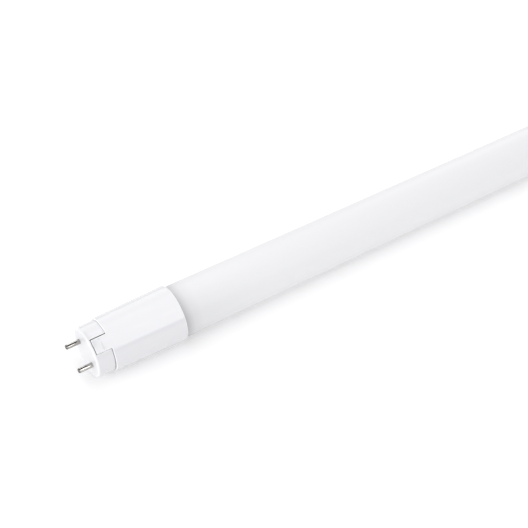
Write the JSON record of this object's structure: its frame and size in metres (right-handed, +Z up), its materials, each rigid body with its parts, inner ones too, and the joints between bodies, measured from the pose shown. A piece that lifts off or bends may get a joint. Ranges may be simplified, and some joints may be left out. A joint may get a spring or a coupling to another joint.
{
  "type": "led tube",
  "caption": "Straight opal tube lamp with long white end caps and a pair of round contact pins at each end, driver inside one cap.",
  "frame": {"origin": "middle of the lamp's length, on the tube's axis", "axes": "+X along the tube's axis, from the end that holds the driver to the other end; +Z up as the lamp lies on the rims of its end caps; the LED board is level below the axis, and the line through each end's two pins is turned 23 degrees up from +Y"},
  "size_m": [0.604, 0.028, 0.028],
  "materials": {
    "opal_diffuser": "satin opal polycarbonate",
    "white_cap": "glossy white moulding",
    "pin_metal": "bright nickel plate",
    "glue": "translucent silicone",
    "white_board": "white solder mask",
    "led": "yellow phosphor in a white frame",
    "black_chip": "matt black resin",
    "green_board": "green solder mask",
    "capacitor_can": "sleeved can",
    "film_box": "yellow potted box",
    "winding": "ferrite with enamelled copper winding",
    "varistor_coat": "dipped coating",
    "resistor_coat": "lacquered",
    "wire_brown": "brown insulation",
    "wire_blue": "blue insulation"
  },
  "bodies": {
    "root": {"diffuser_tube": "opal_diffuser", "near_cap_body": "white_cap", "far_cap_body": "white_cap", "near_pin_end": "white_cap", "far_pin_end": "white_cap", "near_back_pin": "pin_metal", "near_front_pin": "pin_metal", "far_back_pin": "pin_metal", "far_front_pin": "pin_metal", "near_glue_ring": "glue", "far_glue_ring": "glue", "led_board": "white_board", "led_packages": "led", "board_resistors": "black_chip", "driver_board": "green_board", "bulk_capacitor": "capacitor_can", "output_capacitor": "capacitor_can", "film_capacitor": "film_box", "power_inductor": "winding", "input_choke": "winding", "varistor": "varistor_coat", "fusible_resistor": "resistor_coat", "bridge_rectifier": "black_chip", "driver_chip": "black_chip", "output_diode": "black_chip", "live_wire": "wire_brown", "neutral_wire": "wire_blue", "supply_posts": "pin_metal", "far_link_wire": "wire_brown"}
  },
  "joints": []
}
